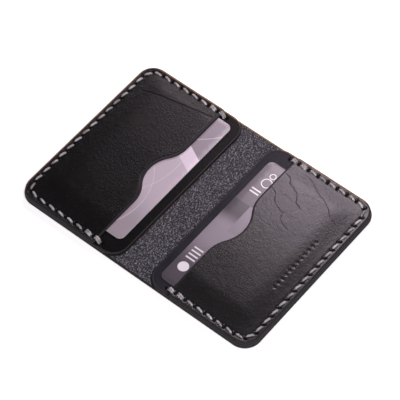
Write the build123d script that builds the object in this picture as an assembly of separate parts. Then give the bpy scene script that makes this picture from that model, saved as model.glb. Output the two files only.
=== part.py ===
from build123d import *
import os
from math import atan2, degrees

# A folding card holder of black leather, hand stitched, lying open with a card in each half.
# The origin is the middle of the underside. X runs across the spine, Y runs along it and
# Z is up, so the pockets look up. "side" is -1 for the left half and 1 for the right half.
# All sizes are in millimetres.

# The whole holder, lying open
OPEN_LENGTH = 144.0
WIDTH = 101.6
CORNER_RADIUS = 9.0

# The leather, from the table up
COVER_THICKNESS = 1.6
BACKING_THICKNESS = 1.3
POCKET_THICKNESS = 1.3

# The spine bends along two lines on the cover's inner face, a quarter turn at each, so the
# halves close face to face. The distance between the lines is what the closed stack needs.
SPINE_WIDTH = 7.65
BEND_GAP = 0.1

# The panels' free edges, measured from the middle of the spine
BACKING_EDGE = 8.6
MOUTH_EDGE = 22.8
NOTCH_WIDTH = 40.0
NOTCH_DEPTH = 6.5

# A bank or business card of the standard size, and the room that the pocket gives it
CARD_LENGTH = 85.60
CARD_WIDTH = 53.98
CARD_THICKNESS = 0.76
CARD_RADIUS = 3.18
CARD_LIFT = 0.03
CAVITY_EDGE = 68.1
CAVITY_WIDTH = 90.4
CAVITY_HEIGHT = 0.95
CAVITY_RADIUS = 4.0
FIELD_RADIUS = 7.0
FIELD_TAPER = 50.0

# Each card's edge next to the spine, and how far the card sits off the middle along Y
CARD_PLACES = {-1: (13.8, 1.9), 1: (13.3, -2.0)}

# The saddle stitch: one line of evenly spaced holes along three edges of each half
STITCH_MARGIN = 3.4
STITCH_END = 19.8
STITCH_COUNT = 32
DOUBLED_STITCHES = 2
HOLE_RADIUS = 0.45
SHANK_RADIUS = 0.40
THREAD_WIDTH = 0.8
THREAD_HEIGHT = 0.5
GROOVE_WIDTH = 1.8
GROOVE_DEPTH = 0.6
UNDERSIDE_CLEARANCE = 0.05

# Worked out from the sizes above
OUTER_EDGE = OPEN_LENGTH / 2
BACKING_BASE = COVER_THICKNESS
POCKET_BASE = BACKING_BASE + BACKING_THICKNESS
RIM_TOP = POCKET_BASE + POCKET_THICKNESS
FIELD_TOP = POCKET_BASE + CAVITY_HEIGHT + POCKET_THICKNESS
BEND_LINE = SPINE_WIDTH / 2

SIDE_NAMES = {-1: "left", 1: "right"}


def panel_outline(spine_edge, side, spine_radius=0.0):
    """A panel's flat outline, from its edge next to the spine to the holder's outer edge."""
    length = OUTER_EDGE - spine_edge
    panel = Pos(side * (spine_edge + length / 2), 0) * Rectangle(length, WIDTH)
    by_distance = panel.vertices().sort_by(lambda corner: abs(corner.X))
    panel = fillet(by_distance[2:], CORNER_RADIUS)
    if spine_radius:
        by_distance = panel.vertices().sort_by(lambda corner: abs(corner.X))
        panel = fillet(by_distance[:2], spine_radius)
    return panel


def stitch_points(side):
    """The holes' places: along one end, down the outer edge and back along the other end."""
    start = side * STITCH_END
    far = side * (OUTER_EDGE - STITCH_MARGIN)
    edge = WIDTH / 2 - STITCH_MARGIN
    corners = ((start, edge), (far, edge), (far, -edge), (start, -edge))
    path = FilletPolyline(*corners, radius=CORNER_RADIUS - STITCH_MARGIN).wire()
    return [path.position_at(number / STITCH_COUNT) for number in range(STITCH_COUNT + 1)]


def stitch_bars(side, base, height, width, doubled_width):
    """A bar from each hole to the next, wider where the stitch is sewn twice."""
    points = stitch_points(side)
    bars = []
    for number, (start, end) in enumerate(zip(points, points[1:])):
        doubled = number < DOUBLED_STITCHES or number >= STITCH_COUNT - DOUBLED_STITCHES
        middle = (start + end) / 2
        run = end - start
        turn = Rot(0, 0, degrees(atan2(run.Y, run.X)))
        bar = Box(run.length + width, doubled_width if doubled else width, height)
        bars.append(Pos(middle.X, middle.Y, base + height / 2) * turn * bar)
    return bars


def pricked(plate, side):
    """The plate with a hole through it at every stitch point."""
    drill = Cylinder(HOLE_RADIUS, 4 * FIELD_TOP)
    return plate - [Pos(point.X, point.Y) * drill for point in stitch_points(side)]


def notch_outline(side):
    """The thumb notch: a hollow arc between two rounded shoulders of the same radius."""
    half = NOTCH_WIDTH / 2

    def place(depth, along):
        return (side * (MOUTH_EDGE + depth), along)

    upper = TangentArc(place(0, half), place(NOTCH_DEPTH / 2, half / 2), tangent=(0, -1))
    middle = ThreePointArc(
        place(NOTCH_DEPTH / 2, half / 2), place(NOTCH_DEPTH, 0), place(NOTCH_DEPTH / 2, -half / 2)
    )
    lower = TangentArc(place(0, -half), place(NOTCH_DEPTH / 2, -half / 2), tangent=(0, 1))
    mouth = Line(place(0, -half), place(0, half))
    return make_face([upper, middle, lower, mouth])


def room_outline(side, radius):
    """The room for the card in plan, running out past the pocket's mouth."""
    inner = (BACKING_EDGE + MOUTH_EDGE) / 2
    length = CAVITY_EDGE - inner
    room = Pos(side * (inner + length / 2), 0) * Rectangle(length, CAVITY_WIDTH)
    by_distance = room.vertices().sort_by(lambda corner: abs(corner.X))
    return fillet(by_distance[2:], radius)


def make_cover(side):
    """One half of the outer cover, with a groove underneath that the thread lies in."""
    cover = extrude(panel_outline(BEND_LINE + BEND_GAP / 2, side), COVER_THICKNESS)
    groove = stitch_bars(side, 0, GROOVE_DEPTH, GROOVE_WIDTH, GROOVE_WIDTH)
    return pricked(cover - groove, side)


def make_spine():
    """The middle of the outer cover, between the two bend lines."""
    strip = Box(SPINE_WIDTH - BEND_GAP, WIDTH, COVER_THICKNESS)
    return Pos(0, 0, COVER_THICKNESS / 2) * strip


def make_backing(side):
    """The inner panel that the card lies on, rounded at all four corners."""
    outline = panel_outline(BACKING_EDGE, side, spine_radius=CORNER_RADIUS)
    return pricked(Pos(0, 0, BACKING_BASE) * extrude(outline, BACKING_THICKNESS), side)


def make_pocket(side):
    """The pocket panel: a flat sewn rim round a field that is raised over the card."""
    outline = panel_outline(MOUTH_EDGE, side) - notch_outline(side)
    rim = Pos(0, 0, POCKET_BASE) * extrude(outline, POCKET_THICKNESS)
    raised = extrude(room_outline(side, FIELD_RADIUS), CAVITY_HEIGHT, taper=FIELD_TAPER)
    field = Pos(0, 0, RIM_TOP) * (raised & extrude(outline, CAVITY_HEIGHT))
    cavity = Pos(0, 0, POCKET_BASE) * extrude(room_outline(side, CAVITY_RADIUS), CAVITY_HEIGHT)
    return pricked(rim + field - cavity, side)


def make_stitching(side):
    """One waxed thread: a shank in every hole, a stitch above and a stitch below."""
    shank_height = RIM_TOP + THREAD_HEIGHT - UNDERSIDE_CLEARANCE
    shank = Cylinder(SHANK_RADIUS, shank_height)
    middle = UNDERSIDE_CLEARANCE + shank_height / 2
    pieces = [Pos(point.X, point.Y, middle) * shank for point in stitch_points(side)]
    for base in (UNDERSIDE_CLEARANCE, RIM_TOP):
        pieces += stitch_bars(side, base, THREAD_HEIGHT, THREAD_WIDTH, 2 * THREAD_WIDTH)
    return Part() + pieces


def make_card(side):
    """One plastic card, lying on the backing panel and pushed down into the pocket."""
    edge, along = CARD_PLACES[side]
    face = RectangleRounded(CARD_WIDTH, CARD_LENGTH, CARD_RADIUS)
    base = POCKET_BASE + CARD_LIFT
    return Pos(side * (edge + CARD_WIDTH / 2), along, base) * extrude(face, CARD_THICKNESS)


nodes = {"spine": make_spine()}
for side, name in SIDE_NAMES.items():
    nodes[f"cover_{name}"] = make_cover(side)
    nodes[f"backing_{name}"] = make_backing(side)
    nodes[f"pocket_{name}"] = make_pocket(side)
    nodes[f"stitching_{name}"] = make_stitching(side)
    nodes[f"card_{name}"] = make_card(side)

os.makedirs("parts", exist_ok=True)
for node, shape in nodes.items():
    export_step(shape, f"parts/{node}.step")
    print(f"{node}: {len(shape.solids())} solid, {shape.volume:.0f} cubic mm")
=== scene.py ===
from math import atan2, cos, pi, radians, sin
import bmesh
import bpy
import numpy as np
from mathutils import Matrix, Vector, geometry, kdtree, noise


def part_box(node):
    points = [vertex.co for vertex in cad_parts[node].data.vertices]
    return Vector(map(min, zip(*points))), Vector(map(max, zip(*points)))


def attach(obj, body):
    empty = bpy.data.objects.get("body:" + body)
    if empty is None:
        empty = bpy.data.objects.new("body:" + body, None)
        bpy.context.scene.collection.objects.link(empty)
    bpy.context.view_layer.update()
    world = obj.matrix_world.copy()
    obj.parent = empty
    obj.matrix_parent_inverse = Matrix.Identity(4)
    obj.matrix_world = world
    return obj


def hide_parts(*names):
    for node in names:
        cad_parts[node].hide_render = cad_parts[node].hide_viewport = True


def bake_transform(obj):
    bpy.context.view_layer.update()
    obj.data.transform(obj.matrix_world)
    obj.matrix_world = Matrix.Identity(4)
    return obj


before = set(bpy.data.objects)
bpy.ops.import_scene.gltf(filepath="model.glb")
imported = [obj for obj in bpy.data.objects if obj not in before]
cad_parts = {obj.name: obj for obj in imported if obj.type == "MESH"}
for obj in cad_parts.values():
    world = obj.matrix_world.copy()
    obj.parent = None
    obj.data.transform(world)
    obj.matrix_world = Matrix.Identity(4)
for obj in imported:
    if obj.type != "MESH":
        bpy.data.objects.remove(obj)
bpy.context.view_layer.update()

# ---------------------------------------------------------------------------------------------
# Outer cover: one cut of black vegetable-tanned leather, smooth outside, its rough flesh side
# showing between the two inner panels. A groove is cut underneath for the thread to lie in.
# The mesh is made whole, in millimetres, and then cut down the spine.

MM = 0.001
SIDES = {-1: "left", 1: "right"}


def box_of(node):
    """A node's lowest and highest corners in millimetres."""
    low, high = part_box(node)
    return np.array(low) / MM, np.array(high) / MM


outer_edge = box_of("cover_right")[1][0]
half_width = box_of("cover_right")[1][1]
cover_top = box_of("spine")[1][2]
backing_edge = box_of("backing_right")[0][0]
corner_radius = 9.0
stitch_margin = 3.4
stitch_end = 19.8
stitch_count = 32


def smooth(t):
    """A smooth step from 0 to 1."""
    t = np.clip(t, 0, 1)
    return t * t * (3 - 2 * t)


def depth_inside(x, y, radius=corner_radius):
    """How far a point lies inside the holder's outer edge."""
    across = np.abs(x) - (outer_edge - radius)
    along = np.abs(y) - (half_width - radius)
    corner = np.hypot(np.maximum(across, 0), np.maximum(along, 0))
    return radius - corner - np.minimum(np.maximum(across, along), 0)


def speckle(x, y, size, seed):
    """Soft random relief between -1 and 1, with lumps of about the given size."""
    places = zip(np.ravel(x) / size, np.ravel(y) / size)
    return np.array([noise.noise(Vector((u, v, seed))) for u, v in places]).reshape(np.shape(x))


def spread(points, step):
    """A closed outline with points added wherever two are further apart than the step."""
    out = []
    for start, end in zip(points, points[1:] + points[:1]):
        pieces = max(1, round(np.hypot(*np.subtract(end, start)) / step))
        out += [tuple(np.add(start, np.subtract(end, start) * k / pieces)) for k in range(pieces)]
    return out


def panel_outline(near, far, near_radius, set_back=0.0, step=0.6):
    """A rounded panel from its edge near the spine to its far edge, anticlockwise."""
    far = far - set_back
    half = half_width - set_back
    far_radius = corner_radius - set_back
    corners = (
        (far, -half, far_radius, -90),
        (far, half, far_radius, 0),
        (near, half, near_radius, 90),
        (near, -half, near_radius, 180),
    )
    points = []
    for x, y, radius, start in corners:
        centre = (x + (radius if x == near else -radius), y - np.sign(y) * radius)
        for angle in np.radians(np.linspace(start, start + 90, max(3, round(radius / step * 1.6)))):
            points.append((centre[0] + radius * cos(angle), centre[1] + radius * sin(angle)))
    return spread(points, step)


def grain_points(loop, inward, levels, fixed):
    """Staggered rows of points inside a loop: each level is a spacing and where it is used."""
    edge = kdtree.KDTree(len(loop))
    for number, (x, y) in enumerate(loop):
        edge.insert((x, y, 0), number)
    edge.balance()

    def is_inside(x, y, margin):
        nearest, number = edge.find((x, y, 0))[:2]
        return np.dot((x - nearest[0], y - nearest[1]), inward[number]) > margin

    placed = [tuple(p) for p in fixed if is_inside(p[0], p[1], 0.1)]
    low, high = loop.min(0), loop.max(0)
    for step, wanted in levels:
        rows = np.arange(low[1], high[1], step * 0.866)
        grid = [
            np.stack((np.arange(low[0] + step / 2 * (n % 2), high[0], step),) * 2, 1) * (1, 0) + (0, y)
            for n, y in enumerate(rows)
        ]
        grid = np.concatenate(grid)
        grid = grid[wanted(grid[:, 0], grid[:, 1])]
        near = kdtree.KDTree(len(placed) + 1)
        for number, (x, y) in enumerate(placed):
            near.insert((x, y, 0), number)
        near.balance()
        for x, y in grid:
            gap = near.find((x, y, 0))[2]
            if is_inside(x, y, 0.5 * step) and (gap is None or gap > 0.7 * step):
                placed.append((x, y))
    return placed


def fill(loop, points):
    """Triangles over the inside of a loop, through the points: loop first, then the points."""
    flat = [Vector(p) for p in loop] + [Vector(p) for p in points]
    edges = [(n, (n + 1) % len(loop)) for n in range(len(loop))]
    result = geometry.delaunay_2d_cdt(flat, edges, [], 1, 1e-6)
    first = [origins[0] for origins in result[3]]
    return [tuple(first[v] for v in face) for face in result[2]]


def slab(name, outline, top, bottom, roundings, top_levels, bottom_levels, fixed=(), lap=0.0):
    """A closed sheet between two height functions; the rounded edge's finish laps the top."""
    ring = np.array(outline)
    ahead = np.roll(ring, -1, 0) - np.roll(ring, 1, 0)
    inward = np.stack((-ahead[:, 1], ahead[:, 0]), 1) / np.linalg.norm(ahead, axis=1)[:, None]
    count = len(ring)
    rows, heights = [], []
    if lap:
        rows.append(ring + inward * (roundings[0] + lap))
        heights.append(top(rows[0][:, 0], rows[0][:, 1]))
    for height, rounding, turn in ((top, roundings[0], 1), (bottom, roundings[1], -1)):
        for angle in np.radians((90, 60, 30, 0))[::turn]:
            place = ring + inward * rounding * (1 - cos(angle))
            rows.append(place)
            heights.append(height(place[:, 0], place[:, 1]) - turn * rounding * (1 - sin(angle)))
    flat = [np.column_stack((place, z)) for place, z in zip(rows, heights)]
    faces, marks = [], []
    for row in range(len(rows) - 1):
        for n in range(count):
            m = (n + 1) % count
            this, following = row * count, (row + 1) * count
            faces.append((this + n, following + n, following + m, this + m))
            marks.append(1 if row < len(rows) - 2 else 0)
    total = len(rows) * count
    for row, height, levels, extra, flip in (
        (0, top, top_levels, fixed, 1),
        (len(rows) - 1, bottom, bottom_levels, (), -1),
    ):
        points = grain_points(rows[row], inward, levels, extra)
        numbers = [row * count + n for n in range(count)] + [total + n for n in range(len(points))]
        for face in fill(rows[row], points):
            faces.append(tuple(numbers[v] for v in face)[::flip])
            marks.append(0)
        places = np.array(points)
        flat.append(np.column_stack((places, height(places[:, 0], places[:, 1]))))
        total += len(points)
    mesh = bpy.data.meshes.new(name)
    mesh.from_pydata(np.concatenate(flat) * MM, [], faces)
    mesh.polygons.foreach_set("material_index", marks)
    mesh.polygons.foreach_set("use_smooth", [True] * len(faces))
    lay = mesh.attributes.new("lay", "FLOAT_VECTOR", "POINT")
    lay.data.foreach_set("vector", (np.concatenate(flat) * MM).ravel())
    mesh.validate()
    return mesh


def marked(mesh, name, value):
    """The mesh with a number at every point, for its material to read."""
    places = np.zeros(len(mesh.vertices) * 3)
    mesh.vertices.foreach_get("co", places)
    x, y, z = places.reshape(-1, 3).T / MM
    mesh.attributes.new(name, "FLOAT", "POINT").data.foreach_set("value", value(x, y, z))
    return mesh


def piece_from(mesh, name, materials):
    """An object for a finished mesh, with its materials."""
    piece = bpy.data.objects.new(name, mesh)
    bpy.context.scene.collection.objects.link(piece)
    for material in materials:
        mesh.materials.append(material)
    return piece


def add(tree, kind, inputs=None, **settings):
    """One node with its settings, and each input set to a value or joined to a socket."""
    node = tree.nodes.new(kind)
    for setting, value in settings.items():
        setattr(node, setting, value)
    for socket, value in (inputs or {}).items():
        if isinstance(value, bpy.types.NodeSocket):
            tree.links.new(value, node.inputs[socket])
        else:
            node.inputs[socket].default_value = value
    return node


def new_material(name):
    """A new material with an empty tree and its output."""
    material = bpy.data.materials.new(name)
    material.use_nodes = True
    material.node_tree.nodes.clear()
    return material, material.node_tree


def shade(tree, inputs):
    """The surface shader, joined to the material's output."""
    shader = add(tree, "ShaderNodeBsdfPrincipled", inputs)
    output = add(tree, "ShaderNodeOutputMaterial")
    tree.links.new(shader.outputs["BSDF"], output.inputs["Surface"])


def laid_on(tree):
    """The place on the leather as it lay flat, which follows it round a bend."""
    return add(tree, "ShaderNodeAttribute", attribute_name="lay").outputs["Vector"]


def patches(tree, place, size, detail=4.0, rough=0.55, stretch=(1, 1, 1), turn=0.0):
    """A soft random pattern with patches of about the given size in millimetres."""
    mapping = {"Vector": place, "Rotation": (0, 0, radians(turn)), "Scale": stretch}
    turned = add(tree, "ShaderNodeMapping", mapping).outputs[0]
    inputs = {"Vector": turned, "Scale": 1 / (size * MM), "Detail": detail, "Roughness": rough}
    pattern = add(tree, "ShaderNodeTexNoise", inputs)
    return pattern.outputs["Fac"]


def ramp(tree, fac, stops):
    """Colours or greys along a factor."""
    node = add(tree, "ShaderNodeValToRGB", {"Fac": fac})
    while len(node.color_ramp.elements) < len(stops):
        node.color_ramp.elements.new(0.5)
    for element, (at, value) in zip(node.color_ramp.elements, stops):
        element.position = at
        element.color = (*value, 1) if isinstance(value, tuple) else (value, value, value, 1)
    return node.outputs["Color"]


def mixed(tree, mask, under, over):
    """One colour laid over another where the mask is 1."""
    mix = add(tree, "ShaderNodeMix", {"Factor": mask}, data_type="RGBA")
    for socket, value in ((mix.inputs[6], under), (mix.inputs[7], over)):
        if isinstance(value, bpy.types.NodeSocket):
            tree.links.new(value, socket)
        else:
            socket.default_value = (*value, 1)
    return mix.outputs[2]


def scale_to(tree, fac, low, high, start=0.0, end=1.0):
    """A value between start and end, stretched between two other numbers or sockets."""
    inputs = {"Value": fac, "From Min": start, "From Max": end, "To Min": low, "To Max": high}
    return add(tree, "ShaderNodeMapRange", inputs).outputs["Result"]


def relief(tree, layers):
    """Bumps laid one on another: each is a height and how deep it is in millimetres."""
    normal = None
    for height, depth in layers:
        inputs = {"Height": height, "Distance": depth * MM, "Strength": 1.0}
        if normal:
            inputs["Normal"] = normal
        normal = add(tree, "ShaderNodeBump", inputs).outputs["Normal"]
    return normal


def pebbles(tree, place, size):
    """Rounded pebbles, as on grained or flesh-side leather."""
    inputs = {"Vector": place, "Scale": 1 / (size * MM)}
    return add(tree, "ShaderNodeTexVoronoi", inputs, feature="SMOOTH_F1").outputs["Distance"]


def cover_material():
    """Black leather: smooth with fine grain outside, lighter and rougher on the flesh side, whose pale
    flecks are partly painted highlights, with a painted shadow line along the panels.
    """
    material, tree = new_material("cover leather")
    place = laid_on(tree)
    height = add(tree, "ShaderNodeSeparateXYZ", {"Vector": place}).outputs["Z"]
    middle = cover_top / 2
    flesh = scale_to(tree, height, 0.0, 1.0, middle * MM, (middle + 0.2) * MM)
    shadow_line = add(tree, "ShaderNodeAttribute", attribute_name="painted_shadow_line").outputs["Fac"]
    fine = patches(tree, place, 0.5, 5.0, 0.65)
    broad = patches(tree, place, 14.0, 3.0)
    fleck_and_glint = patches(tree, place, 0.55, 3.0, 0.72, stretch=(1.0, 0.62, 1.0), turn=52)
    # pale flecks on the flesh side: partly the leather's own light fibres, partly painted highlights on
    # its pebbles
    dark, middle_grey, pale = (0.006, 0.006, 0.008), (0.017, 0.016, 0.021), (0.26, 0.25, 0.29)
    flesh_colour = ramp(tree, fleck_and_glint, ((0.40, dark), (0.51, middle_grey), (0.67, pale)))
    # painted shadow: the flesh side turns near-black in a thin line along each backing panel's edge
    flesh_colour = mixed(tree, shadow_line, flesh_colour, (0.003, 0.003, 0.003))
    grain_colour = ramp(tree, broad, ((0.3, (0.010, 0.0095, 0.0105)), (0.75, (0.022, 0.020, 0.022))))
    rough = scale_to(tree, flesh, scale_to(tree, fine, 0.40, 0.62), 0.78)
    normal = relief(tree, ((pebbles(tree, place, 0.8), 0.09), (fine, 0.06), (broad, 0.2)))
    shade(
        tree,
        {
            "Base Color": mixed(tree, flesh, grain_colour, flesh_colour),
            "Roughness": rough,
            "Normal": normal,
            "Sheen Weight": 0.08,
            "Sheen Roughness": 0.5,
        },
    )
    return material


def edge_material():
    """The cut edge of stacked leather, burnished and dyed: brown towards the left end and along the far
    side.
    """
    material, tree = new_material("burnished edge")
    place = laid_on(tree)
    split = add(tree, "ShaderNodeSeparateXYZ", {"Vector": place}).outputs
    # the edge turns brown towards the left end and along the far side, broken up in streaks; elsewhere
    # it stays near-black
    brown_left_end = scale_to(tree, split["X"], 0.0, 0.8, (3.6 - outer_edge) * MM, (1.2 - outer_edge) * MM)
    brown_far_side = scale_to(tree, split["Y"], 0.0, 1.0, (half_width - 4.2) * MM, (half_width - 1.2) * MM)
    brown_sides = add(tree, "ShaderNodeMath", {0: brown_left_end, 1: brown_far_side}, operation="MAXIMUM").outputs[0]
    streaks = patches(tree, place, 1.6, 5.0, 0.6, stretch=(1, 1, 5))
    uneven = scale_to(tree, streaks, 0.2, 1.5)
    thin = add(tree, "ShaderNodeMath", {0: brown_sides, 1: uneven}, operation="MULTIPLY").outputs[0]
    black, dark_brown, golden = (0.012, 0.010, 0.011), (0.060, 0.034, 0.019), (0.28, 0.170, 0.075)
    colour = ramp(tree, thin, ((0.1, black), (0.6, dark_brown), (1.0, golden)))
    shade(
        tree,
        {
            "Base Color": colour,
            "Roughness": scale_to(tree, streaks, 0.42, 0.66),
            "Specular IOR Level": 0.3,
            "Normal": relief(tree, ((streaks, 0.06),)),
        },
    )
    return material


def stitch_path(side):
    """The stitch line: along the far end, down the outer edge and back along the near end."""
    inner = corner_radius - stitch_margin
    far = outer_edge - stitch_margin
    edge = half_width - stitch_margin
    points = [(stitch_end, edge)]
    for turn, start in ((1, 90), (-1, 0)):
        for angle in np.radians(np.linspace(start, start - 90, 25)):
            along = turn * (edge - inner) + inner * sin(angle)
            points.append((far - inner + inner * cos(angle), along))
    points.append((stitch_end, -edge))
    return np.array(points) * (side, 1)


def hole_places(side):
    """The places of the pricked holes, evenly spaced along the stitch line."""
    path = stitch_path(side)
    run = np.concatenate(([0], np.cumsum(np.linalg.norm(np.diff(path, axis=0), axis=1))))
    even = np.linspace(0, run[-1], stitch_count + 1)
    return np.column_stack([np.interp(even, run, path[:, k]) for k in (0, 1)])


groove_depth = 0.62
groove_half_width = 0.95
pebble_height = 0.13


def stitch_lane(x, y, half):
    """How nearly a point is in the stitch line: 1 on it, 0 beyond the half width."""
    across = smooth((half - np.abs(depth_inside(x, y) - stitch_margin)) / (0.45 * half))
    return across * smooth((np.abs(x) - stitch_end + 1.4) / 0.8)


def under_backing(x, y):
    """How far a point lies inside a backing panel's rounded outline; negative on the spine."""
    middle = (backing_edge + outer_edge) / 2
    across = np.abs(np.abs(x) - middle) - ((outer_edge - backing_edge) / 2 - corner_radius)
    along = np.abs(y) - (half_width - corner_radius)
    corner = np.hypot(np.maximum(across, 0), np.maximum(along, 0))
    return corner_radius - corner - np.minimum(np.maximum(across, along), 0)


def cover_top_height(x, y):
    """The cover's inner face: pebbled flesh side where it shows at the spine."""
    shown = smooth(1.0 - under_backing(x, y))
    pebble = np.abs(speckle(x, y, 1.0, 3.1)) + 0.6 * np.abs(speckle(x, y, 2.3, 8.4))
    return cover_top - 0.02 - pebble_height * shown * (1 - pebble)


def cover_bottom_height(x, y):
    """The underside, with the stitch groove."""
    return groove_depth * stitch_lane(x, y, groove_half_width)


def everywhere(x, y):
    """Where a sheet's coarsest spacing of points is used."""
    return np.full(np.shape(x), True)


edge_lap = 0.5
cover_rounding = (0.3, 0.5)
# where the painted shadow line on the flesh side starts, and how wide it is, in millimetres
shadow_line_start, shadow_line_width = -0.45, 0.35
edge_leather = edge_material()
cover_leather = cover_material()
whole = slab(
    "cover",
    panel_outline(-outer_edge, outer_edge, corner_radius),
    cover_top_height,
    cover_bottom_height,
    cover_rounding,
    ((0.36, lambda x, y: under_backing(x, y) < 1.0), (3.0, everywhere)),
    (
        (0.42, lambda x, y: stitch_lane(x, y, 1.6) > 0.01),
        (0.8, lambda x, y: np.abs(x) < 9.0),
        (2.0, everywhere),
    ),
    lap=edge_lap,
)
# the mask for the painted shadow line along the backing panels' edges
marked(
    whole, "painted_shadow_line", lambda x, y, z: smooth((under_backing(x, y) - shadow_line_start) / shadow_line_width)
)
cut = bmesh.new()
cut.from_mesh(whole)
everything = cut.verts[:] + cut.edges[:] + cut.faces[:]
bmesh.ops.bisect_plane(cut, geom=everything, plane_co=(0, 0, 0), plane_no=(1, 0, 0), dist=1e-7)
cut.to_mesh(whole)
cut.free()
facing = whole.attributes.new("facing", "FLOAT_VECTOR", "POINT")
facing.data.foreach_set("vector", np.array([v.normal for v in whole.vertices]).ravel())
for side, name in SIDES.items():
    half_mesh = bmesh.new()
    half_mesh.from_mesh(whole)
    other = [f for f in half_mesh.faces if f.calc_center_median().x * side < 0]
    bmesh.ops.delete(half_mesh, geom=other, context="FACES")
    rim = [e for e in half_mesh.edges if e.is_boundary]
    bmesh.ops.triangle_fill(half_mesh, use_beauty=True, edges=rim)
    bmesh.ops.recalc_face_normals(half_mesh, faces=half_mesh.faces[:])
    mesh = bpy.data.meshes.new(f"cover_half_{name}")
    half_mesh.to_mesh(mesh)
    half_mesh.free()
    normals = np.zeros(len(mesh.vertices) * 3)
    mesh.attributes["facing"].data.foreach_get("vector", normals)
    mesh.normals_split_custom_set_from_vertices(normals.reshape(-1, 3))
    mesh.attributes.remove(mesh.attributes["facing"])
    cover = piece_from(mesh, f"cover_leather_{name}", (cover_leather, edge_leather))
    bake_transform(cover)
    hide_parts(f"cover_{name}")
    if side > 0:
        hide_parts("spine")
bpy.data.meshes.remove(whole)

# ---------------------------------------------------------------------------------------------
# Backing panels: black leather glued and sewn to the cover, one in each half. The edge next to
# the spine is creased with a hot iron and rounded at its corners; the card lies on this panel.

crease_inset = 1.35
crease_half_width = 0.24
crease_depth = 0.13
hole_long = 1.45
hole_short = 0.72
hole_slant = -66
last_hole_reach = 22
crease_reach = 24
backing_set_back = 0.28
backing_rounding = (0.35, 0.2)
backing_grain = 0.6
backing_gloss = {-1: 0.06, 1: 0.05}
backing_polish = 0.29
# the left backing keeps the leather's own tone; the right one is painted lighter and bluer, painted
# light for the brighter light on the right half
backing_tone_and_painted_light = {-1: (0.0050, 0.0045, 0.0049), 1: (0.0170, 0.0157, 0.0205)}


def hole_slots(side):
    """Each hole's place, and the directions along and across its slanted slot."""
    holes = hole_places(side)
    for (hole_x, hole_y), (step_x, step_y) in zip(holes, np.gradient(holes, axis=0)):
        angle = atan2(step_y, step_x) + radians(hole_slant)
        yield hole_x, hole_y, np.array(((cos(angle), sin(angle)), (-sin(angle), cos(angle))))


def pricks(x, y, side, depth):
    """Pits where the awl went through, slanted to the stitch line."""
    pit = np.zeros(np.shape(x))
    for hole_x, hole_y, turned in hole_slots(side):
        u = ((x - hole_x) * turned[0, 0] + (y - hole_y) * turned[0, 1]) / hole_long
        v = ((x - hole_x) * turned[1, 0] + (y - hole_y) * turned[1, 1]) / hole_short
        pit = np.maximum(pit, depth * (1 - smooth((np.hypot(u, v) - 0.25) / 0.8)))
    return pit


def prick_points(side):
    """Points in and round every pit, so that the leather follows its shape."""
    around = []
    for hole_x, hole_y, turned in hole_slots(side):
        for share in (0.0, 0.3, 0.55, 0.8, 1.05, 1.4):
            for number in range(12 if share else 1):
                bearing = 2 * pi * number / 12
                spot = np.array((hole_long * cos(bearing), hole_short * sin(bearing))) * share
                around.append(tuple(np.array((hole_x, hole_y)) + spot @ turned))
    return around


def panel_material(name, grain, gloss, polish, tone):
    """Smooth black leather with fine grain and polish, with painted shade in its stitch holes and, on
    the pockets, in its folds.
    """
    material, tree = new_material(name)
    place = laid_on(tree)
    # the pricked mark says where shade is painted: the stitch holes and, on the pockets, the folds
    pit = add(tree, "ShaderNodeAttribute", attribute_name="pricked").outputs["Fac"]
    fine = patches(tree, place, 0.45, 5.0, 0.62, stretch=(1.0, 1.7, 1.0), turn=32)
    broad = patches(tree, place, 20.0, 3.0)
    middling = patches(tree, place, 3.2, 4.0, 0.6)
    scratch = patches(tree, place, 1.1, 4.0, 0.5, stretch=(0.12, 2.4, 1.0), turn=-28)
    colour = ramp(tree, broad, ((0.30, tone), (0.72, tuple(1.7 * part for part in tone))))
    rough = scale_to(tree, middling, polish, scale_to(tree, fine, polish + 0.02, polish + 0.12))
    rough = scale_to(tree, pit, rough, 1.0)
    # painted shade: the colour is darkened there to a tenth
    darkened = {"Value": scale_to(tree, pit, 1.0, 0.1), "Color": colour}
    colour = add(tree, "ShaderNodeHueSaturation", darkened).outputs[0]
    layers = (
        (fine, 0.07 * grain),
        (pebbles(tree, place, 0.85), 0.075 * grain),
        (middling, 0.03 + 0.025 * grain),
        (scratch, 0.03 * grain),
    )
    shade(
        tree,
        {
            "Base Color": colour,
            "Roughness": rough,
            "Normal": relief(tree, layers),
            "Specular IOR Level": gloss,
            "Sheen Weight": 0.02,
        },
    )
    return material


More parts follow.
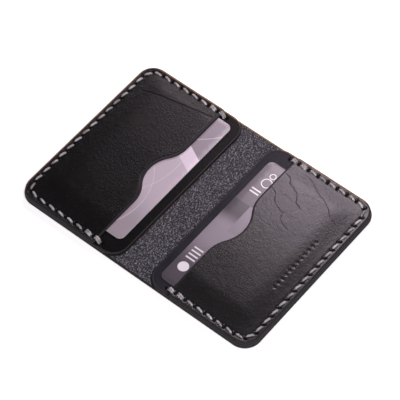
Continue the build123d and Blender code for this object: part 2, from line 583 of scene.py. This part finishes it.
for side, name in SIDES.items():
    low, high = box_of(f"backing_{name}")
    near = min(abs(low[0]), abs(high[0]))
    base, rise = low[2], high[2]
    mouth = np.abs(box_of(f"pocket_{name}"))[:, 0].min()

    def backing_top(x, y, side=side, rise=rise):
        gap = under_backing(x, y) - crease_inset
        crease = crease_depth * np.exp(-((gap / crease_half_width) ** 2)) * (np.abs(x) < crease_reach)
        last_hole = pricks(x, y, side, 0.8) * (np.abs(x) < last_hole_reach)
        sunk = 0.12 * stitch_lane(x, y, 1.2)
        return rise - 0.015 * (1 + speckle(x, y, 3.0, 5.0 + side)) - crease - last_hole - sunk

    def backing_bottom(x, y, base=base):
        return base + 0 * x

    def shown(x, y, mouth=mouth):
        return np.abs(x) < mouth + 9

    def creased(x, y):
        gap = under_backing(x, y) - crease_inset
        return (np.abs(gap) < 0.75) & (np.abs(x) < crease_reach)

    # mask for the painted shade in the backing's last stitch holes
    def pricked(x, y, z, side=side):
        return pricks(x, y, side, 1.0) * (np.abs(x) < last_hole_reach)

    ends = [p for p in prick_points(side) if abs(p[0]) < last_hole_reach]
    outline = panel_outline(near, outer_edge, corner_radius, set_back=backing_set_back)
    outline = [(side * x, y) for x, y in outline][::side]
    mesh = slab(
        f"backing_{name}_leather",
        outline,
        backing_top,
        backing_bottom,
        backing_rounding,
        ((0.24, creased), (0.6, shown), (3.0, everywhere)),
        ((4.0, everywhere),),
        ends,
        edge_lap,
    )
    marked(mesh, "pricked", pricked)
    look = (backing_grain, backing_gloss[side], backing_polish, backing_tone_and_painted_light[side])
    leather = panel_material(f"panel leather {name} backing", *look)
    backing = piece_from(mesh, f"backing_panel_{name}", (leather, edge_leather))
    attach(backing, f"{name}_half")
    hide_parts(f"backing_{name}")

# ---------------------------------------------------------------------------------------------
# Pocket panels: the same leather, sewn down on three sides over the backing. Each is wet-formed
# over the card, so a flat sewn rim rises to a raised field, and its mouth has a thumb notch.

rim_slope_start = 3.4
rim_slope_width = 15.0
far_slope_width = {-1: 8.0, 1: 12.0}
seam_sink = 0.16
cavity_slope_start = 3.9
cavity_slope_width = 1.5
leather_thinning = 0.17
notch_half = 20.0
pocket_grain = {-1: 1.1, 1: 0.45}
pocket_gloss = {-1: 0.19, 1: 0.45}
pocket_polish = {-1: 0.22, 1: 0.26}
pocket_tone = (0.0044, 0.0039, 0.0043)
notch_depth = {-1: 6.9, 1: 6.1}
mouth_corner = 1.5
pocket_set_back = 0.55
pocket_rounding = (0.55, 0.25)
tool_depth = 0.13
ornament_inset = 11.8
ornament_reach = 17.5
ornament_count = 12


def notch_at(along, depth):
    """How far the thumb notch is cut back: a hollow arc between two rounded shoulders."""
    quarter = notch_half / 2
    radius = (quarter**2 + (depth / 2) ** 2) / depth
    y = np.abs(along)
    hollow = depth - radius + np.sqrt(np.maximum(radius**2 - np.minimum(y, quarter) ** 2, 0))
    reach = np.clip(notch_half - y, 0, quarter)
    shoulder = radius - np.sqrt(radius**2 - reach**2)
    return np.where(y < quarter, hollow, shoulder)


def bent(points):
    """A line with its corners cut twice, so that it bends smoothly."""
    path = np.array(points, float)
    for _ in range(2):
        shares = (0.75 * path[:-1] + 0.25 * path[1:], 0.25 * path[:-1] + 0.75 * path[1:])
        path = np.concatenate((path[:1], np.stack(shares, 1).reshape(-1, 2), path[-1:]))
    return path


def wrinkle(x, y, points, width, depth):
    """A shallow fold along a bent line, fading out at both ends."""
    path = bent(points)
    best = np.full(np.shape(x), 1e9)
    share = np.zeros(np.shape(x))
    for number, (start, end) in enumerate(zip(path, path[1:])):
        run = end - start
        t = np.clip(((x - start[0]) * run[0] + (y - start[1]) * run[1]) / (run @ run), 0, 1)
        gap = np.hypot(x - start[0] - t * run[0], y - start[1] - t * run[1])
        share = np.where(gap < best, (number + t) / (len(path) - 1), share)
        best = np.minimum(gap, best)
    fade = smooth(share / 0.15) * smooth((1 - share) / 0.15)
    return depth * np.exp(-((best / width) ** 2)) * fade


vein_stray = {-1: 0.3, 1: 0.9}
wrinkles = {
    -1: (
        (((-64, 33), (-58, 35.5), (-45, 38), (-35, 40.5), (-24, 43)), 0.36, 0.13),
        (((-46, 30), (-40, 36), (-33, 40)), 0.26, 0.02),
    ),
    1: (
        (((23, 39), (28, 38), (31, 34), (36, 33), (38, 28), (44, 26)), 0.22, 0.068),
        (((23, 28), (28, 26), (31, 21), (37, 19), (40, 14), (46, 13)), 0.22, 0.060),
        (((31, 45), (37, 43), (45, 39), (52, 36), (57, 31), (64, 29)), 0.22, 0.055),
        (((28, 26), (33, 28), (37, 27)), 0.18, 0.025),
        (((36, 33), (41, 34), (46, 38)), 0.18, 0.020),
        (((37, 19), (43, 21), (49, 19)), 0.18, 0.020),
        (((27, 12), (33, 9), (38, 10)), 0.18, 0.025),
    ),
}


def folds(x, y, side):
    """All the folds and veins in one pocket, wandering a little from their lines."""
    stray = vein_stray[side]
    stray_x = x + stray * speckle(x, y, 3.4, 31.0) + 0.3 * stray * speckle(x, y, 1.1, 12.0)
    stray_y = y + stray * speckle(x, y, 3.4, 47.0) + 0.3 * stray * speckle(x, y, 1.1, 66.0)
    return sum(wrinkle(stray_x, stray_y, *fold) for fold in wrinkles[side])


def ornament(x, y):
    """A blind-tooled row of small diamonds along the outer edge."""
    across = np.abs(np.abs(x) - (outer_edge - ornament_inset))
    pitch = 2 * ornament_reach / ornament_count
    along = np.abs((y + ornament_reach) % pitch - pitch / 2)
    ends = smooth((ornament_reach - np.abs(y)) / 0.3)
    diamond = smooth((1.15 - across - along * 1.1) / 0.35)
    return ends * diamond


for side, name in SIDES.items():
    low, high = box_of(f"pocket_{name}")
    mouth = min(abs(low[0]), abs(high[0]))
    base = low[2]
    rim_top = 2 * base - box_of(f"backing_{name}")[0][2]
    lift = high[2] - rim_top
    depth = notch_depth[side]

    def pocket_top(x, y, side=side, mouth=mouth, depth=depth, rim_top=rim_top, lift=lift):
        inside = depth_inside(x, y)
        end_slope = rim_slope_width + (far_slope_width[side] - rim_slope_width) * smooth(y / 20)
        over_ends = smooth((half_width - np.abs(y) - rim_slope_start) / end_slope)
        over_side = smooth((outer_edge - np.abs(x) - rim_slope_start) / rim_slope_width)
        raised = (lift - leather_thinning) * over_ends * over_side
        sunk = seam_sink * np.exp(-((inside - stitch_margin) ** 2))
        crease = 0
        if side < 0:
            gap = np.abs(x) - mouth - notch_at(y, depth) - crease_inset
            crease = crease_depth * np.exp(-((gap / crease_half_width) ** 2))
        tooled = tool_depth * ornament(x, y) if side > 0 else 0
        soft = 0.05 * speckle(x, y, 16.0, 2.0 + side) + 0.015 * speckle(x, y, 2.2, 7.0 + side)
        sunk = sunk + folds(x, y, side) + pricks(x, y, side, 1.0)
        return rim_top - 0.08 + raised - sunk - crease - tooled + soft

    def pocket_bottom(x, y, base=base, lift=lift):
        return base + lift * smooth((depth_inside(x, y) - cavity_slope_start) / cavity_slope_width)

    def detailed(x, y, side=side, mouth=mouth, depth=depth):
        folded = sum(wrinkle(x, y, fold[0], 1.1, 1.0) for fold in wrinkles[side]) > 0.25
        gap = np.abs(np.abs(x) - mouth - notch_at(y, depth) - crease_inset)
        return folded | ((gap < 0.7) & (side < 0)) | ((ornament(x, y) > 0.001) & (side > 0))

    def over_cavity(x, y):
        return np.abs(depth_inside(x, y) - cavity_slope_start - cavity_slope_width / 2) < 1.5

    # mask for the painted shade: full in the stitch holes, up to a third along the folds and veins
    def pit_and_fold_shade(x, y, z, side=side):
        return np.maximum(pricks(x, y, side, 1.0), np.minimum(4.5 * folds(x, y, side), 0.32))

    outline = panel_outline(mouth, outer_edge, mouth_corner, set_back=pocket_set_back)
    cut_back = [(x + notch_at(y, depth) * (x < mouth + 0.01), y) for x, y in outline]
    outline = [(side * x, y) for x, y in cut_back][::side]
    holes = [p for p in prick_points(side) if abs(p[0]) > mouth + 1]
    mesh = slab(
        f"pocket_{name}_leather",
        outline,
        pocket_top,
        pocket_bottom,
        pocket_rounding,
        ((0.26, detailed), (0.55, everywhere)),
        ((0.8, over_cavity), (3.0, everywhere)),
        holes,
        edge_lap,
    )
    marked(mesh, "pricked", pit_and_fold_shade)
    look = (pocket_grain[side], pocket_gloss[side], pocket_polish[side], pocket_tone)
    leather = panel_material(f"panel leather {name} pocket", *look)
    pocket = piece_from(mesh, f"pocket_panel_{name}", (leather, edge_leather))
    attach(pocket, f"{name}_half")
    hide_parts(f"pocket_{name}")

# ---------------------------------------------------------------------------------------------
# Stitching: one waxed linen thread in each half, saddle stitched through all three layers, so
# a short slanting stitch shows between every two holes above and below. The ends are sewn twice.

thread_radius = 0.57
stitch_rise = 0.36
stitch_share = 0.64
stitch_slant = -13
thread_sink = 0.30
doubled_stitches = 2
thread_twist = 5.6
underside_gap = 0.04


def waxed_thread():
    """Ash grey linen thread, twisted and waxed."""
    material, tree = new_material("waxed thread")
    place = add(tree, "ShaderNodeTexCoord").outputs["Object"]
    fuzz = patches(tree, place, 0.35, 3.0, 0.6)
    tone = patches(tree, place, 5.0, 3.0)
    wax = add(tree, "ShaderNodeMath", {0: fuzz, 1: tone}, operation="MULTIPLY").outputs[0]
    colour = ramp(tree, wax, ((0.13, (0.11, 0.105, 0.11)), (0.36, (0.62, 0.59, 0.60))))
    shade(
        tree,
        {
            "Base Color": colour,
            "Roughness": scale_to(tree, fuzz, 0.35, 0.6),
            "Normal": relief(tree, ((fuzz, 0.05),)),
            "Sheen Weight": 0.1,
            "Coat Weight": 1.0,
            "Coat Roughness": 0.2,
        },
    )
    return material


def stitch_nodes():
    """A stitch on each edge of the line of holes: an arched, twisted thread of three strands."""
    tree = bpy.data.node_groups.new("saddle stitch", "GeometryNodeTree")
    for label, kind in (
        ("Holes", "NodeSocketGeometry"),
        ("Stitch length", "NodeSocketFloat"),
        ("Thread radius", "NodeSocketFloat"),
        ("Rise", "NodeSocketFloat"),
        ("Slant", "NodeSocketFloat"),
        ("Twist", "NodeSocketFloat"),
        ("Doubled stitches", "NodeSocketInt"),
        ("Stitches", "NodeSocketInt"),
        ("Mouth edge", "NodeSocketFloat"),
        ("Step down", "NodeSocketFloat"),
        ("Underside", "NodeSocketFloat"),
        ("Thread", "NodeSocketMaterial"),
    ):
        tree.interface.new_socket(label, in_out="INPUT", socket_type=kind)
    tree.interface.new_socket("Geometry", in_out="OUTPUT", socket_type="NodeSocketGeometry")
    given = tree.nodes.new("NodeGroupInput").outputs

    def sums(operation, *values):
        inputs = dict(enumerate(values))
        return add(tree, "ShaderNodeMath", inputs, operation=operation).outputs[0]

    def vector(x=0.0, y=0.0, z=0.0):
        return add(tree, "ShaderNodeCombineXYZ", {"X": x, "Y": y, "Z": z}).outputs[0]

    def vector_sum(operation, inputs):
        return add(tree, "ShaderNodeVectorMath", inputs, operation=operation).outputs[0]

    def moved(points, **inputs):
        return add(tree, "GeometryNodeSetPosition", {"Geometry": points, **inputs}).outputs[0]

    # one stitch along X, arched over the leather between two holes
    line = add(tree, "GeometryNodeCurvePrimitiveLine", {"End": (1, 0, 0)}).outputs[0]
    line = add(tree, "GeometryNodeResampleCurve", {"Curve": line, "Count": 15}, mode="COUNT").outputs[0]
    share = add(tree, "GeometryNodeSplineParameter").outputs["Factor"]
    swing = sums("SUBTRACT", sums("MULTIPLY", share, 2.0), 1.0)
    fourth = sums("POWER", sums("ABSOLUTE", swing), 3.2)
    arch = sums("MULTIPLY", given["Rise"], sums("SUBTRACT", 1.0, sums("MULTIPLY", fourth, 2.6)))
    along = sums("MULTIPLY", sums("MULTIPLY", swing, 0.5), given["Stitch length"])
    line = moved(line, Position=vector(along, 0.0, arch))
    taper = sums("SUBTRACT", 1.0, sums("MULTIPLY", fourth, 0.35))
    line = add(tree, "GeometryNodeSetCurveRadius", {"Curve": line, "Radius": taper}).outputs[0]
    twist = sums("MULTIPLY", share, given["Twist"])
    line = add(tree, "GeometryNodeSetCurveTilt", {"Curve": line, "Tilt": twist}).outputs[0]
    round_one = {"Resolution": 18, "Radius": 1.0}
    circle = add(tree, "GeometryNodeCurvePrimitiveCircle", round_one, mode="RADIUS").outputs[0]
    turn = sums("MULTIPLY", add(tree, "GeometryNodeSplineParameter").outputs["Factor"], 2 * pi)
    strand = sums("ABSOLUTE", sums("COSINE", sums("MULTIPLY", turn, 1.5)))
    lobes = sums("ADD", 0.86, sums("MULTIPLY", strand, 0.24))
    reach = sums("MULTIPLY", given["Thread radius"], lobes)
    rim_x = sums("MULTIPLY", sums("COSINE", turn), reach)
    rim_y = sums("MULTIPLY", sums("SINE", turn), reach)
    circle = moved(circle, Position=vector(rim_x, rim_y))
    swept = {"Curve": line, "Profile Curve": circle, "Fill Caps": True}
    stitch = add(tree, "GeometryNodeCurveToMesh", swept).outputs[0]

    # its place and direction on every edge between two holes
    ends = add(tree, "GeometryNodeInputMeshEdgeVertices").outputs
    steps = vector_sum("SUBTRACT", {0: ends["Position 2"], 1: ends["Position 1"]})
    order = add(tree, "GeometryNodeInputIndex").outputs[0]
    numbered = given["Holes"]
    kept = {}
    for label, value, kind in (("run", steps, "FLOAT_VECTOR"), ("number", order, "INT")):
        inputs = {"Geometry": numbered, "Name": label, "Value": value}
        store = add(tree, "GeometryNodeStoreNamedAttribute", inputs, data_type=kind, domain="EDGE")
        numbered = store.outputs[0]
        reading = add(tree, "GeometryNodeInputNamedAttribute", {"Name": label}, data_type=kind)
        kept[label] = reading.outputs[0]
    points = add(tree, "GeometryNodeMeshToPoints", {"Mesh": numbered}, mode="EDGES").outputs[0]
    first = sums("LESS_THAN", kept["number"], given["Doubled stitches"])
    singles_end = sums("SUBTRACT", sums("SUBTRACT", given["Stitches"], given["Doubled stitches"]), 1.0)
    last = sums("GREATER_THAN", kept["number"], singles_end)
    doubled = sums("MAXIMUM", first, last)
    aside = vector_sum("NORMALIZE", {0: vector_sum("CROSS_PRODUCT", {0: kept["run"], 1: (0, 0, 1)})})
    limits = {"Min": (-1, -1, -1), "Max": (1, 1, 1), "Seed": 4}
    wander = add(tree, "FunctionNodeRandomValue", limits, data_type="FLOAT_VECTOR").outputs[0]
    wander = add(tree, "ShaderNodeSeparateXYZ", {"Vector": wander}).outputs
    turned = add(tree, "FunctionNodeAlignRotationToVector", {"Vector": kept["run"]}, axis="X").outputs[0]
    lean = sums("ADD", given["Slant"], sums("MULTIPLY", wander["X"], radians(2.5)))
    inputs = {"Rotation": turned, "Rotate By": vector(0.0, 0.0, lean)}
    turned = add(tree, "FunctionNodeRotateRotation", inputs, rotation_space="LOCAL").outputs[0]
    longer = sums("ADD", 1.0, sums("MULTIPLY", wander["Y"], 0.02))
    wider = sums("ADD", 1.0, sums("MULTIPLY", wander["Z"], 0.06))
    size = vector(longer, wider, 1.0)
    passes = []
    for way in (-1.0, 1.0):
        shift = sums("MULTIPLY", sums("MULTIPLY", doubled, way * 0.96), given["Thread radius"])
        beside = moved(points, Offset=vector_sum("SCALE", {0: aside, "Scale": shift}))
        wanted = {"Points": beside, "Instance": stitch, "Rotation": turned, "Scale": size}
        if way > 0:
            wanted["Selection"] = doubled
        passes.append(add(tree, "GeometryNodeInstanceOnPoints", wanted).outputs[0])
    joined = add(tree, "GeometryNodeJoinGeometry")
    for sewn in passes:
        tree.links.new(sewn, joined.inputs[0])
    above = add(tree, "GeometryNodeRealizeInstances", {"Geometry": joined.outputs[0]}).outputs[0]

    # the last stitch steps down over the pocket's mouth to the panel below it
    place = add(tree, "GeometryNodeInputPosition").outputs[0]
    spot = add(tree, "ShaderNodeSeparateXYZ", {"Vector": place}).outputs
    stepping = {
        "Value": sums("ABSOLUTE", spot["X"]),
        "From Min": sums("SUBTRACT", given["Mouth edge"], 0.4 * MM),
        "From Max": sums("SUBTRACT", given["Mouth edge"], 2.2 * MM),
        "To Max": given["Step down"],
    }
    past = add(tree, "ShaderNodeMapRange", stepping, interpolation_type="SMOOTHSTEP").outputs["Result"]
    stepped = moved(above, Offset=vector(0.0, 0.0, sums("MULTIPLY", past, -1.0)))

    # the same stitches underneath, turned over and pressed flat into their groove
    pressed = scale_to(tree, spot["Z"], 0.85 * MM, given["Underside"], 3.5 * MM, 5.1 * MM)
    below = moved(above, Position=vector(spot["X"], spot["Y"], pressed))
    below = add(tree, "GeometryNodeFlipFaces", {"Mesh": below}).outputs[0]
    both = add(tree, "GeometryNodeJoinGeometry")
    for sewn in (stepped, below):
        tree.links.new(sewn, both.inputs[0])
    rounded = add(tree, "GeometryNodeSetShadeSmooth", {"Geometry": both.outputs[0]}).outputs[0]
    finished = add(tree, "GeometryNodeSetMaterial", {"Geometry": rounded, "Material": given["Thread"]})
    output = tree.nodes.new("NodeGroupOutput")
    tree.links.new(finished.outputs[0], output.inputs[0])
    return tree


thread = waxed_thread()
stitches = stitch_nodes()
for side, name in SIDES.items():
    lowest, highest = box_of(f"pocket_{name}")
    mouth = min(abs(lowest[0]), abs(highest[0]))
    rim_top = 2 * lowest[2] - box_of(f"backing_{name}")[0][2]
    holes = hole_places(side)
    line_points = np.insert(holes, 2, rim_top - thread_sink, axis=1) * MM
    line = bpy.data.meshes.new(f"hole_line_{name}")
    line.from_pydata(line_points, [(n, n + 1) for n in range(stitch_count)], [])
    sewn = bpy.data.objects.new(f"hole_line_{name}", line)
    bpy.context.scene.collection.objects.link(sewn)
    modifier = sewn.modifiers.new("stitches", "NODES")
    modifier.node_group = stitches
    sizes = {
        "Stitch length": np.linalg.norm(holes[1] - holes[0]) * stitch_share * MM,
        "Thread radius": thread_radius * MM,
        "Rise": stitch_rise * MM,
        "Slant": radians(stitch_slant),
        "Twist": thread_twist,
        "Doubled stitches": doubled_stitches,
        "Stitches": stitch_count,
        "Mouth edge": mouth * MM,
        "Step down": (rim_top - lowest[2]) * MM,
        "Underside": underside_gap * MM,
        "Thread": thread,
    }
    for socket in stitches.interface.items_tree:
        if socket.name in sizes:
            modifier[socket.identifier] = sizes[socket.name]
    bpy.context.view_layer.update()
    evaluated = sewn.evaluated_get(bpy.context.evaluated_depsgraph_get())
    mesh = bpy.data.meshes.new_from_object(evaluated)
    for attribute in ("run", "number"):
        if attribute in mesh.attributes:
            mesh.attributes.remove(mesh.attributes[attribute])
    bpy.data.objects.remove(sewn)
    bpy.data.meshes.remove(line)
    mesh.name = f"thread_{name}"
    stitching = bpy.data.objects.new(f"saddle_stitches_{name}", mesh)
    bpy.context.scene.collection.objects.link(stitching)
    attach(stitching, f"{name}_half")
    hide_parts(f"stitching_{name}")

# ---------------------------------------------------------------------------------------------
# Cards: two laminated plastic cards of the standard size, each printed with plain bands and
# marks. They stand about 9 mm out of the pockets, and slide out towards the spine.

card_radius = 3.18
card_rounding = (0.12, 0.12)


def card_outline(low, high, step=0.8):
    """A standard card's outline, anticlockwise."""
    points = []
    corners = ((high[0], low[1]), (high[0], high[1]), (low[0], high[1]), (low[0], low[1]))
    for (x, y), start in zip(corners, (-90, 0, 90, 180)):
        centre_x = x + (card_radius if x == low[0] else -card_radius)
        centre_y = y + (card_radius if y == low[1] else -card_radius)
        for angle in np.radians(np.linspace(start, start + 90, 10)):
            points.append((centre_x + card_radius * cos(angle), centre_y + card_radius * sin(angle)))
    return spread(points, step)


def card_print(name, side):
    """A card's printed face: soft bands of grey with thin pale arcs, under a satin laminate."""
    material, tree = new_material(name)
    place = add(tree, "ShaderNodeTexCoord").outputs["Object"]
    split = add(tree, "ShaderNodeSeparateXYZ", {"Vector": place}).outputs

    def sums(operation, *values):
        return add(tree, "ShaderNodeMath", dict(enumerate(values)), operation=operation).outputs[0]

    def step(value, low, high):
        inputs = {"Value": value, "From Min": low * MM, "From Max": high * MM}
        return add(tree, "ShaderNodeMapRange", inputs, interpolation_type="SMOOTHSTEP").outputs["Result"]

    def painted(under, mask, colour):
        return mixed(tree, mask, under, colour)

    def ring(x, y, radius, width):
        """A thin printed circle about a point."""
        across = sums("SUBTRACT", split["X"], x * MM)
        along = sums("SUBTRACT", split["Y"], y * MM)
        square = sums("ADD", sums("MULTIPLY", across, across), sums("MULTIPLY", along, along))
        gap = sums("ABSOLUTE", sums("SUBTRACT", sums("SQRT", square), radius * MM))
        return step(gap, width / 2 + 0.12, width / 2 - 0.12)

    if side < 0:
        slope = sums("ADD", split["Y"], sums("MULTIPLY", split["X"], 0.5))
        colour = painted((0.25, 0.21, 0.25), step(slope, 11.8, 11.2), (0.48, 0.41, 0.47))
        colour = painted(colour, step(split["Y"], -8.0, -32.0), (0.33, 0.28, 0.32))
        band = sums("MULTIPLY", step(slope, 2.4, 3.4), step(slope, 11.8, 11.2))
        colour = painted(colour, band, (0.68, 0.59, 0.67))
        for x, y, radius in ((-57, 8, 37.0), (-52, 66, 48.0), (-52, -20, 32.0)):
            colour = painted(colour, ring(x, y, radius, 0.3), (0.62, 0.54, 0.61))
    else:
        colour = painted((0.255, 0.215, 0.255), step(split["Y"], -12.0, -34.0), (0.072, 0.060, 0.075))
        colour = painted(colour, step(split["Y"], -3.0, 6.0), (0.036, 0.029, 0.039))
        strip = sums("MULTIPLY", step(split["X"], 22.4, 22.8), step(split["Y"], -6.0, -4.0))
        colour = painted(colour, strip, (0.22, 0.185, 0.22))
        colour = painted(colour, step(split["Y"], 12.7, 13.2), (0.088, 0.073, 0.088))
        rings = ((20.4, 28.5, 2.6, 0.5), (20.4, 33.5, 1.5, 0.45), (19, -33.5, 0.0, 5.6))
        for x, y, radius, width in rings:
            colour = painted(colour, ring(x, y, radius, width), (0.80, 0.76, 0.80))
        for y in (22.5, 20.5, -21.5, -23.7, -25.9, -28.1):
            bar = sums("MULTIPLY", step(split["X"], 16.0, 16.2), step(split["X"], 21.6, 21.4))
            row = step(sums("ABSOLUTE", sums("SUBTRACT", split["Y"], y * MM)), 0.5, 0.3)
            colour = painted(colour, sums("MULTIPLY", bar, row), (0.78, 0.74, 0.78))
    mottle = patches(tree, place, 6.0, 4.0)
    shade(
        tree,
        {
            "Base Color": colour,
            "Roughness": scale_to(tree, mottle, 0.26, 0.38),
            "Normal": relief(tree, ((patches(tree, place, 0.6, 2.0), 0.001), (mottle, 0.005))),
            "Coat Weight": 0.25,
            "Coat Roughness": 0.2,
        },
    )
    return material


def card_core(name, colours):
    """The card's cut edge: its plastic core, tinted by the print."""
    material, tree = new_material(name)
    place = add(tree, "ShaderNodeTexCoord").outputs["Object"]
    tone = patches(tree, place, 3.0, 3.0)
    colour = ramp(tree, tone, ((0.3, colours[0]), (0.7, colours[1])))
    shade(tree, {"Base Color": colour, "Roughness": 0.45, "Normal": relief(tree, ((tone, 0.01),))})
    return material


core_colours = {
    -1: ((0.42, 0.40, 0.42), (0.55, 0.53, 0.55)),
    1: ((0.09, 0.08, 0.09), (0.14, 0.12, 0.14)),
}
for side, name in SIDES.items():
    low, high = box_of(f"card_{name}")

    def card_top(x, y, high=high):
        return high[2] + 0 * x

    def card_bottom(x, y, low=low):
        return low[2] + 0 * x

    mesh = slab(
        f"card_{name}_sheet",
        card_outline(low, high),
        card_top,
        card_bottom,
        card_rounding,
        ((3.0, everywhere),),
        ((4.0, everywhere),),
    )
    face = card_print(f"card print {name}", side)
    core = card_core(f"card edge {name}", core_colours[side])
    card = piece_from(mesh, f"printed_card_{name}", (face, core))
    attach(card, f"{name}_card")
    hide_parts(f"card_{name}")

# ---------------------------------------------------------------------------------------------
# Studio: a seamless white sweep that glows a little, and a dim room. Two small softboxes behind
# the holder are mirrored in the far ends of the two halves; a large one fills from the front.

sweep_size = 3.0
sweep_material, tree = new_material("white sweep")
cloudy = patches(tree, add(tree, "ShaderNodeTexCoord").outputs["Object"], 400.0, 2.0)
shade(
    tree,
    {
        "Base Color": ramp(tree, cloudy, ((0.0, 0.90), (1.0, 0.92))),
        "Roughness": 0.9,
        "Specular IOR Level": 0.1,
        "Emission Color": (1, 1, 1, 1),
        "Emission Strength": 0.40,
    },
)
sweep_mesh = bpy.data.meshes.new("sweep")
ways = ((-1, -1), (1, -1), (1, 1), (-1, 1))
corners = [(x * sweep_size, y * sweep_size, -0.2 * MM) for x, y in ways]
sweep_mesh.from_pydata(corners, [], [(0, 1, 2, 3)])
sweep_mesh.materials.append(sweep_material)
sweep = bpy.data.objects.new("sweep", sweep_mesh)
bpy.context.scene.collection.objects.link(sweep)


def softbox(name, place, target, width, height, power, colour):
    """A rectangular area light aimed at a point."""
    light = bpy.data.lights.new(name, "AREA")
    light.shape = "RECTANGLE"
    light.size = width
    light.size_y = height
    light.energy = power
    light.color = colour
    box = bpy.data.objects.new(name, light)
    box.location = place
    box.rotation_euler = (Vector(target) - Vector(place)).to_track_quat("-Z", "Y").to_euler()
    bpy.context.scene.collection.objects.link(box)


softbox("far softbox", (-0.028, 0.157, 0.190), (0.048, 0.045, 0), 0.10, 0.07, 0.215, (1, 0.85, 0.97))
softbox("low softbox", (-0.19, 0.27, 0.25), (-0.03, 0.04, 0), 0.10, 0.06, 0.32, (1, 0.86, 0.92))
softbox("front fill", (0.55, -0.45, 1.05), (0, 0, 0), 0.8, 0.8, 12.5, (1, 0.95, 0.99))
world = bpy.data.worlds.new("studio")
world.use_nodes = True
world.node_tree.nodes["Background"].inputs["Color"].default_value = (1, 1, 1, 1)
world.node_tree.nodes["Background"].inputs["Strength"].default_value = 0.06
bpy.context.scene.world = world
bpy.context.scene.view_settings.view_transform = "Standard"

azimuth, elevation, roll = radians(40.78), radians(55.96), radians(-1.79)
camera_distance = 1.048
target = Vector((-0.0005, 0.0027, 0))
back = Vector((sin(azimuth) * cos(elevation), -cos(azimuth) * cos(elevation), sin(elevation)))
right = (-back).cross(Vector((0, 0, 1))).normalized()
up = right.cross(-back)
level_right = cos(roll) * right + sin(roll) * up
level_up = -sin(roll) * right + cos(roll) * up
lens = bpy.data.cameras.new("camera")
lens.lens = 194.1
lens.sensor_width = 36
lens.clip_start = 0.01
camera = bpy.data.objects.new("camera", lens)
turned = Matrix((level_right, level_up, back)).transposed()
camera.matrix_world = Matrix.Translation(target + back * camera_distance) @ turned.to_4x4()
bpy.context.scene.collection.objects.link(camera)
bpy.context.scene.camera = camera

bpy.context.view_layer.update()
